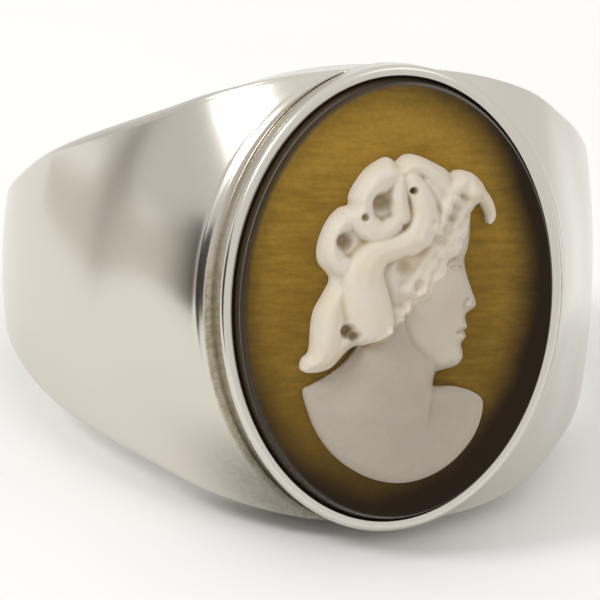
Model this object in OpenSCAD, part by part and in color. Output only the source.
// A silver ring that holds an oval shell cameo of a bust in profile.
// The ring is drawn with its finger hole along Z and its bezel towards -Y, and then laid on its side.

/* [Finger hole and band] */
// Diameter of the finger hole
bore_d = 18.5; // [16:0.1:22]
// Thickness of the band at the back
back_wall = 1.5; // [1.2:0.05:2.2]
// Thickness of the shoulders beside the bezel
shoulder_wall = 3.0; // [2.4:0.05:3.4]
// Width of the band at the back
back_w = 4; // [3:0.1:6]
// How much lower the band's edges lie than its middle line
crown = 0.55; // [0.2:0.05:0.8]
// Rounding of the band's outer edges
edge_round = 0.35; // [0.15:0.05:0.45]
// Rounding of the finger hole's edges
comfort_round = 0.25; // [0.1:0.05:0.4]

/* [Bezel] */
// Height of the rim's top above the wall of the finger hole
rim_stand = 3.6; // [3.3:0.05:4.2]
// Width of the rim's bright face
rim_w = 0.42; // [0.3:0.01:0.6]
// Depth of the pocket below the rim's top
pocket_depth = 1.2; // [0.9:0.05:1.5]
// How far the shoulder's end lies below the rim's top
ledge_drop = 1.1; // [0.8:0.05:1.3]
// Width of the ledge at the shoulder's end
ledge_w = 0.4; // [0.2:0.05:0.6]
// How far the bezel's foot spreads over the shoulder
foot_spread = 1.65; // [1.2:0.05:1.9]
// How far the oval rim stands out past the band's edges, above and below
rim_past = 0.2; // [0:0.05:0.4]
// Lean of the oval to the right, in degrees
oval_lean = 2.2; // [0:0.1:4]

/* [Cameo ground] */
// Length of the slab at its base
stone_l = 16; // [14:0.1:18]
// Width of the slab at its base
stone_w = 12; // [10:0.1:13]
// Height of the slab's side
stone_h = 2.1; // [1.6:0.05:2.6]
// Lean of the slab's side, in degrees
side_lean = 14; // [8:1:20]
// Rise of the slab's domed face above its edge
dome_rise = 0.3; // [0.1:0.05:0.6]
// Gap between the slab and its pocket
seat_gap = 0.04; // [0.02:0.01:0.1]

/* [Cameo figure] */
// Plain ground left between the figure and the slab's edge at the sides
side_border = 1.75; // [1:0.05:2.5]
// Plain ground left between the figure and the slab's edge at the ends
end_border = 1.75; // [1:0.05:2.5]
// How far the figure sits below the slab's middle
figure_drop = 0.5; // [0:0.05:0.8]
// Height of the figure's highest lock above the slab
relief = 1.3; // [0.8:0.05:1.6]
// Gap between the figure and the slab
carve_gap = 0.02; // [0.01:0.01:0.05]

/* [Hidden] */
oval_steps = 72;
band_steps = 72;
bore_steps = 180;
silver = "#c9c8c2";
shell_brown = "#8a6a2a";
shell_white = "#efe9e0";

// Radii and levels, measured outwards from the finger hole's axis
bore_r = bore_d / 2;
rim_level = bore_r + rim_stand;
floor_level = rim_level - pocket_depth;
ledge_level = rim_level - ledge_drop;
foot_sink = 1.25;
root_sink = 0.5;
foot_level = bore_r - foot_sink;
root_level = foot_level - root_sink;
edge_level = floor_level + seat_gap + stone_h;
face_level = edge_level + dome_rise;

// How far an oval shrinks from the slab's base up to a height
function lean_in(h) = h * tan(side_lean);
// Half sizes of an oval that lies "out" beyond the slab's base
function oval(out) = [stone_w / 2 + out, stone_l / 2 + out];
rim_in = seat_gap - lean_in(pocket_depth);
rim_out = rim_in + rim_w;
rim_soft = 0.1;
ledge_soft = 0.06;

// Half sizes of the slab's face, inside its softened edge
edge_soft = 0.08;
face = oval(-lean_in(stone_h) - edge_soft);

// Points of an oval ring at a level: X to the right, Y along the oval and Z outwards
function ring_points(half, level) = [
    for (i = [0 : oval_steps - 1])
        let (turn = i * 360 / oval_steps)
        [half.x * cos(turn), half.y * sin(turn), level]
];

// A solid lofted through rows of [half sizes, level], closed by a flat cap at both ends
module oval_loft(rows) {
    rings = len(rows);
    points = [for (row = rows) each ring_points(row[0], row[1])];
    sides = [
        for (r = [0 : rings - 2], i = [0 : oval_steps - 1])
            let (j = (i + 1) % oval_steps, a = r * oval_steps, b = a + oval_steps)
            each [[a + i, b + i, a + j], [a + j, b + i, b + j]]
    ];
    first = [for (i = [0 : oval_steps - 1]) i];
    last = [for (i = [oval_steps - 1 : -1 : 0]) (rings - 1) * oval_steps + i];
    polyhedron(points = points, faces = concat(sides, [first, last]));
}

// Puts what is drawn on the bezel's plane, with Z outwards, in its place on the ring
module on_bezel() {
    rotate([90, 0, 0]) rotate([0, 0, -oval_lean]) children();
}

// Sections of the band: angle from the front, share of the wall's growth, share of the width's growth
SECTIONS = [
    [0, 0.70, 1.00],
    [15, 0.78, 0.965],
    [31, 0.80, 0.835],
    [38, 0.66, 0.750],
    [45, 0.50, 0.672],
    [60, 0.26, 0.510],
    [75, 0.15, 0.360],
    [90, 0.10, 0.205],
    [110, 0.07, 0.075],
    [135, 0.03, 0.015],
    [180, 0.00, 0.00],
];

// A smooth curve through one column of the table
function share(angle, column) =
    let (last = len(SECTIONS) - 1, i = max([for (k = [0 : last - 1]) if (SECTIONS[k][0] <= angle) k]))
    let (a = SECTIONS[max(i - 1, 0)], b = SECTIONS[i], c = SECTIONS[i + 1], d = SECTIONS[min(i + 2, last)])
    let (span = c[0] - b[0], t = (angle - b[0]) / span, t2 = t * t, t3 = t2 * t)
    let (m1 = i == 0 ? 0 : (c[column] - a[column]) / (c[0] - a[0]) * span)
    let (m2 = i == last - 1 ? 0 : (d[column] - b[column]) / (d[0] - b[0]) * span)
    (2 * t3 - 3 * t2 + 1) * b[column] + (t3 - 2 * t2 + t) * m1
        + (3 * t2 - 2 * t3) * c[column] + (t3 - t2) * m2;

// Under the bezel the band stays below the pocket's floor by the cover
front_half = stone_l / 2 + rim_out - rim_past;
pocket_cover = 0.15;
bezel_angle = 30;
function free_wall(angle) = back_wall + share(angle, 1) * (shoulder_wall - back_wall);
function covered_wall(angle) = (floor_level - pocket_cover) / cos(angle) - bore_r;
function wall_at(angle) =
    angle > bezel_angle ? free_wall(angle) : min(free_wall(angle), covered_wall(angle));
function half_at(angle) = back_w / 2 + share(angle, 2) * (front_half - back_w / 2);

// One section of the band as [radius, height] points, from the hole's lower edge round to its upper edge.
// It reaches inside the hole by the bore's cut, which the bore then takes away
CROWN_STEPS = [0, 0.28, 0.55, 0.8, 1];
ROUND_STEPS = [0, 30, 60];
bore_cut = 0.6;
function section(angle) =
    let (h = half_at(angle), flat = h - edge_round, top = bore_r + wall_at(angle))
    let (edge = top - crown * flat / front_half)
    let (upper = [
        for (v = CROWN_STEPS) [top - (top - edge) * v * v, flat * v],
        for (i = [len(ROUND_STEPS) - 1 : -1 : 0]) let (a = ROUND_STEPS[i])
            [edge - edge_round + edge_round * sin(a), flat + edge_round * cos(a)],
        [bore_r + comfort_round, h],
        [bore_r - bore_cut, h - comfort_round - bore_cut],
    ])
    concat([for (i = [len(upper) - 1 : -1 : 1]) [upper[i][0], -upper[i][1]]], upper);

// The band before the finger hole is bored, swept round the hole's axis
module band_blank() {
    sections = [for (s = [0 : band_steps - 1]) let (a = s * 360 / band_steps) section(a > 180 ? 360 - a : a)];
    n = len(sections[0]);
    points = [
        for (s = [0 : band_steps - 1], p = sections[s])
            let (a = s * 360 / band_steps) [p[0] * sin(a), -p[0] * cos(a), p[1]]
    ];
    faces = [
        for (s = [0 : band_steps - 1], i = [0 : n - 1])
            let (j = (i + 1) % n, a = s * n, b = ((s + 1) % band_steps) * n)
            each [[a + i, a + j, b + i], [a + j, b + j, b + i]]
    ];
    polyhedron(points = points, faces = faces);
}

// The bezel: rows from its root inside the band, up its hollow foot, over the ledge and the rim,
// and into the pocket
FOOT_STEPS = [0, 0.25, 0.5, 0.75];
root_inset = 1;
rim_taper = 0.02;
BEZEL = concat(
    [[oval(-root_inset), root_level]],
    [
        for (t = FOOT_STEPS) [
            oval(rim_out) + [ledge_w + foot_spread * pow(1 - t, 2), -rim_past - 2 * comfort_round * (1 - t)],
            foot_level + (ledge_level - foot_level) * t
        ]
    ],
    [
        [oval(rim_out) + [ledge_w, -rim_past], ledge_level - ledge_soft],
        [oval(rim_out) + [ledge_w - ledge_soft, -rim_past / 2], ledge_level],
        [oval(rim_out + rim_taper), ledge_level],
        [oval(rim_out), rim_level - rim_soft],
        [oval(rim_out - rim_soft), rim_level],
        [oval(rim_in + rim_soft), rim_level],
        [oval(rim_in + rim_taper), rim_level - rim_soft],
        [oval(seat_gap), floor_level],
    ]
);

// Lower points of the band and the bezel in the side view, as [Y, Z], before and behind the hole's axis
SIDE_STEP = 5;
function band_low(from, to) = [
    for (a = [from : SIDE_STEP : to], p = section(a))
        if (p[0] >= bore_r && p[1] < 0) [-p[0] * cos(a), p[1]]
];
bezel_low = [for (row = BEZEL) if (row[1] > bore_r) [-row[1], -row[0].y]];
front_low = concat(band_low(0, 90 - SIDE_STEP), bezel_low);
back_low = band_low(90, 180);

// The ring lies on its side at the tilt where the bezel's lowest point and the band's back both touch
function tilted_z(p, tilt) = p[1] * cos(tilt) - p[0] * sin(tilt);
function tilted_y(p, tilt) = p[0] * cos(tilt) + p[1] * sin(tilt);
function lowest(points, tilt) = min([for (p = points) tilted_z(p, tilt)]);
function settle(low, high, turns) =
    let (middle = (low + high) / 2)
    turns == 0 ? middle
    : lowest(front_low, middle) < lowest(back_low, middle) ? settle(middle, high, turns - 1)
    : settle(low, middle, turns - 1);
steepest_tilt = 45;
settle_turns = 24;
rest_tilt = settle(0, steepest_tilt, settle_turns);
rest_lift = -lowest(front_low, rest_tilt);

// The origin is on the surface, under the middle of the ring's length
back_end = max([for (p = section(180)) tilted_y(p, rest_tilt)]);
front_points = concat(bezel_low, [[-edge_level, -face.y], [-face_level - relief, 0]]);
front_end = min([for (p = front_points) tilted_y(p, rest_tilt)]);
rest_shift = -(back_end + front_end) / 2;

// Lays what is drawn round the finger hole on its side
module lay_on_side() {
    translate([0, rest_shift, rest_lift]) rotate([-rest_tilt, 0, 0]) children();
}

// The bore reaches past both sides of the ring
beyond = 1;
bore_length = 2 * (front_half + rim_past + beyond);

module ring_band() {
    color(silver)
        lay_on_side()
            difference() {
                union() {
                    band_blank();
                    on_bezel() oval_loft(BEZEL);
                }
                cylinder(h = bore_length, r = bore_r, center = true, $fn = bore_steps);
            }
}

// Rows of the slab's dome as shares of its face
DOME_SHARES = [1, 0.86, 0.68, 0.48, 0.27, 0.08];
function dome_height(point) = dome_rise * (1 - pow(point.x / face.x, 2) - pow(point.y / face.y, 2));
dome_rows = [for (s = DOME_SHARES) [face * s, edge_level + dome_rise * (1 - s * s)]];

module cameo_ground() {
    color(shell_brown)
        lay_on_side()
            on_bezel()
                oval_loft(concat(
                    [
                        [oval(-edge_soft), floor_level + seat_gap],
                        [oval(-lean_in(edge_soft)), floor_level + seat_gap + edge_soft],
                        [oval(-lean_in(stone_h)), edge_level - edge_soft],
                    ],
                    dome_rows
                ));
}

// The figure's own half sizes. Its tables hold X, Y and widths as shares of them,
// and heights as shares of the relief
figure_half = [face.x - side_border, face.y - end_border];
function on_figure(p) = [p[0] * figure_half.x, p[1] * figure_half.y - figure_drop];
function level_at(point) = edge_level + dome_height(point);

// Lines across the figure, from the crown down to the chest: X and Y of the left end,
// then X and Y of the right end
HEAD_LINES = [
    [-0.20, 0.985, -0.04, 1.005],
    [-0.32, 0.965, 0.14, 0.985],
    [-0.46, 0.925, 0.28, 0.945],
    [-0.57, 0.85, 0.42, 0.94],
    [-0.63, 0.76, 0.53, 0.92],
    [-0.66, 0.68, 0.61, 0.87],
    [-0.78, 0.61, 0.66, 0.81],
    [-0.87, 0.51, 0.65, 0.76],
    [-0.88, 0.40, 0.60, 0.72],
    [-0.83, 0.30, 0.57, 0.695],
    [-0.79, 0.23, 0.57, 0.675],
    [-0.86, 0.13, 0.575, 0.655],
    [-0.94, 0.00, 0.58, 0.635],
    [-0.99, -0.14, 0.585, 0.61],
    [-1.03, -0.27, 0.59, 0.585],
    [-1.04, -0.36, 0.59, 0.56],
    [-0.92, -0.37, 0.59, 0.53],
    [-0.76, -0.33, 0.585, 0.50],
    [-0.60, -0.25, 0.58, 0.47],
    [-0.47, -0.18, 0.57, 0.43],
    [-0.43, -0.19, 0.55, 0.38],
    [-0.42, -0.20, 0.565, 0.33],
    [-0.41, -0.21, 0.60, 0.27],
    [-0.40, -0.22, 0.65, 0.20],
    [-0.40, -0.23, 0.705, 0.12],
    [-0.395, -0.24, 0.685, 0.075],
    [-0.39, -0.245, 0.605, 0.045],
    [-0.385, -0.25, 0.61, 0.00],
    [-0.38, -0.255, 0.635, -0.03],
    [-0.38, -0.26, 0.60, -0.06],
    [-0.38, -0.265, 0.62, -0.09],
    [-0.38, -0.27, 0.575, -0.13],
    [-0.38, -0.275, 0.60, -0.19],
    [-0.385, -0.28, 0.57, -0.25],
    [-0.39, -0.285, 0.48, -0.29],
];
NECK_LINES = [
    [-0.40, -0.29, 0.37, -0.30],
    [-0.42, -0.31, 0.30, -0.33],
    [-0.48, -0.345, 0.285, -0.38],
    [-0.62, -0.385, 0.31, -0.43],
    [-0.82, -0.44, 0.45, -0.45],
    [-0.93, -0.49, 0.63, -0.46],
    [-0.96, -0.53, 0.77, -0.48],
];

// Below the shoulders the bust is cut off along half an oval
bust_middle = [-0.06, -0.48];
bust_half = [0.91, 0.53];
BUST_LINES = [
    for (a = [12 : 11 : 78])
        let (y = bust_middle.y - bust_half.y * sin(a), reach = bust_half.x * cos(a))
        [bust_middle.x - reach, y, bust_middle.x + reach, y]
];
LINES = concat(HEAD_LINES, NECK_LINES, BUST_LINES);

// Places along a line: close together at its ends, where the figure's shoulder is rounded
ACROSS = [
    0, 0.015, 0.04, 0.075, 0.12, 0.17, 0.22, 0.27, 0.32, 0.37, 0.42, 0.47, 0.53, 0.58, 0.63, 0.68,
    0.73, 0.78, 0.83, 0.88, 0.925, 0.96, 0.985, 1
];
ACROSS_BELOW = [0, 0.2, 0.4, 0.6, 0.8, 1];
between_lines = 2;
function curve_point(a, b, c, d, t) =
    (2 * b + (c - a) * t + (2 * a - 5 * b + 4 * c - d) * t * t + (3 * b - a - 3 * c + d) * t * t * t) / 2;
function line_at(i, t) =
    let (n = len(LINES))
    curve_point(LINES[max(i - 1, 0)], LINES[i], LINES[min(i + 1, n - 1)], LINES[min(i + 2, n - 1)], t);
figure_lines = [
    for (i = [0 : len(LINES) - 2], k = [0 : between_lines - 1])
        let (line = line_at(i, k / between_lines))
        [on_figure([line[0], line[1]]), on_figure([line[2], line[3]])]
];

// Locks of hair, from the crown to the nape and then from the crown to the brow: X, Y, half width and height
LOCKS = [
    [
        [-0.04, 0.84, 0.09, 0.80], [0.07, 0.74, 0.13, 0.92], [0.09, 0.62, 0.15, 0.95],
        [0.00, 0.50, 0.16, 0.95], [-0.18, 0.44, 0.15, 0.92], [-0.37, 0.40, 0.17, 0.92],
        [-0.47, 0.26, 0.20, 0.97], [-0.42, 0.10, 0.23, 1.00], [-0.32, -0.05, 0.20, 0.98],
        [-0.24, -0.15, 0.11, 0.80]
    ],
    [
        [-0.20, 0.87, 0.12, 0.72], [-0.40, 0.83, 0.14, 0.78], [-0.54, 0.72, 0.14, 0.80],
        [-0.50, 0.60, 0.13, 0.80], [-0.34, 0.54, 0.13, 0.82]
    ],
    [
        [-0.58, 0.60, 0.10, 0.62], [-0.76, 0.54, 0.11, 0.66], [-0.80, 0.43, 0.11, 0.68],
        [-0.70, 0.33, 0.11, 0.68], [-0.58, 0.30, 0.10, 0.70]
    ],
    [
        [-0.66, 0.22, 0.14, 0.60], [-0.76, 0.10, 0.16, 0.66], [-0.80, -0.05, 0.17, 0.70],
        [-0.82, -0.18, 0.15, 0.66], [-0.92, -0.30, 0.09, 0.50]
    ],
    [
        [-0.56, 0.04, 0.12, 0.62], [-0.66, -0.14, 0.13, 0.62], [-0.76, -0.26, 0.10, 0.50]
    ],
    [
        [-0.10, 0.92, 0.09, 0.70], [0.06, 0.95, 0.11, 0.75], [0.22, 0.91, 0.13, 0.76],
        [0.32, 0.84, 0.11, 0.74]
    ],
    [
        [0.10, 0.84, 0.12, 0.72], [0.24, 0.74, 0.14, 0.74], [0.26, 0.62, 0.13, 0.72],
        [0.18, 0.50, 0.12, 0.68]
    ],
    [
        [0.30, 0.85, 0.10, 0.66], [0.44, 0.88, 0.12, 0.72], [0.55, 0.82, 0.12, 0.72],
        [0.55, 0.75, 0.09, 0.62]
    ],
    [
        [0.60, 0.80, 0.07, 0.50], [0.70, 0.76, 0.06, 0.40], [0.77, 0.69, 0.05, 0.33],
        [0.79, 0.62, 0.035, 0.30]
    ],
    [
        [0.38, 0.74, 0.12, 0.64], [0.38, 0.60, 0.13, 0.64], [0.28, 0.44, 0.13, 0.62],
        [0.14, 0.34, 0.12, 0.60]
    ],
    [
        [0.08, 0.40, 0.14, 0.64], [0.02, 0.26, 0.14, 0.64], [-0.08, 0.12, 0.14, 0.60]
    ],
];

// Neck and chest, then the cheek, in the same form
SKIN = [
    [
        [-0.05, -0.10, 0.40, 0.60], [-0.12, -0.36, 0.46, 0.62], [-0.30, -0.56, 0.62, 0.56],
        [-0.22, -0.72, 0.60, 0.48]
    ],
    [[0.30, 0.45, 0.34, 0.64], [0.30, 0.10, 0.36, 0.70], [0.38, -0.12, 0.26, 0.60]],
];

// Drilled pits between the locks: X, Y, radius as a share of the half width
PITS = [[-0.33, 0.71, 0.12], [-0.67, 0.47, 0.11], [-0.03, 0.79, 0.06], [-0.58, -0.07, 0.09]];
pit_floor = 0.25;
pit_slope = 0.5;

// Heights as shares of the relief: of the flat between the forms, and of the upright wall at the edge
flat_share = 0.44;
wall_share = 0.6;
shoulder_r = 0.45;

// Each stretch of a form: its two ends, its half widths there and its heights there
STRETCHES = [
    for (form = concat(LOCKS, SKIN), i = [0 : len(form) - 2])
        let (a = form[i], b = form[i + 1])
        [on_figure(a), on_figure(b), [a[2], b[2]] * figure_half.x, [a[3], b[3]]]
];
function between(pair, t) = pair[0] + t * (pair[1] - pair[0]);
function swell(p, s) =
    let (along = s[1] - s[0], t = min(max((p - s[0]) * along / (along * along), 0), 1))
    let (away = norm(p - s[0] - t * along) / between(s[2], t))
    away >= 1 ? 0 : between(s[3], t) * sqrt(1 - away * away);
function pit_share(p, pit) =
    let (away = norm(p - on_figure(pit)) / (pit[2] * figure_half.x))
    min(max((1 - away) / pit_slope, 0), 1);
function rounding(from_edge) = sqrt(1 - pow(1 - min(from_edge / shoulder_r, 1), 2));
function relief_at(p, from_edge) =
    let (form = max(flat_share, max([for (s = STRETCHES) swell(p, s)])))
    let (drilled = max([for (pit = PITS) pit_share(p, pit)]))
    let (round_form = form * (wall_share + (1 - wall_share) * rounding(from_edge)))
    relief * (round_form - drilled * max(round_form - pit_floor, 0));

module cameo_figure() {
    rows = len(figure_lines);
    top = len(ACROSS);
    low = len(ACROSS_BELOW);
    front = [
        for (line = figure_lines, s = ACROSS)
            let (p = between(line, s), from_edge = min(s, 1 - s) * norm(line[1] - line[0]))
            [p.x, p.y, level_at(p) + carve_gap + relief_at(p, from_edge)]
    ];
    back = [
        for (line = figure_lines, s = ACROSS_BELOW)
            let (p = between(line, s))
            [p.x, p.y, level_at(p) + carve_gap]
    ];
    first_back = rows * top;
    front_faces = [
        for (r = [0 : rows - 2], k = [0 : top - 2])
            let (a = r * top + k, b = a + top)
            each [[a, a + 1, b + 1], [a, b + 1, b]]
    ];
    back_faces = [
        for (r = [0 : rows - 2], k = [0 : low - 2])
            let (a = first_back + r * low + k, b = a + low)
            each [[a, b, b + 1], [a, b + 1, a + 1]]
    ];
    sides = [
        for (r = [0 : rows - 2])
            let (a = r * top, b = a + top, c = first_back + r * low, d = c + low)
            each [
                [a, b, d], [a, d, c],
                [b + top - 1, a + top - 1, c + low - 1], [b + top - 1, c + low - 1, d + low - 1]
            ]
    ];
    ends = [
        concat([for (k = [top - 1 : -1 : 0]) k], [for (k = [0 : low - 1]) first_back + k]),
        concat(
            [for (k = [0 : top - 1]) (rows - 1) * top + k],
            [for (k = [low - 1 : -1 : 0]) first_back + (rows - 1) * low + k]
        )
    ];
    color(shell_white)
        lay_on_side()
            on_bezel()
                polyhedron(
                    points = concat(front, back),
                    faces = concat(front_faces, back_faces, sides, ends)
                );
}

ring_band();
cameo_ground();
cameo_figure();
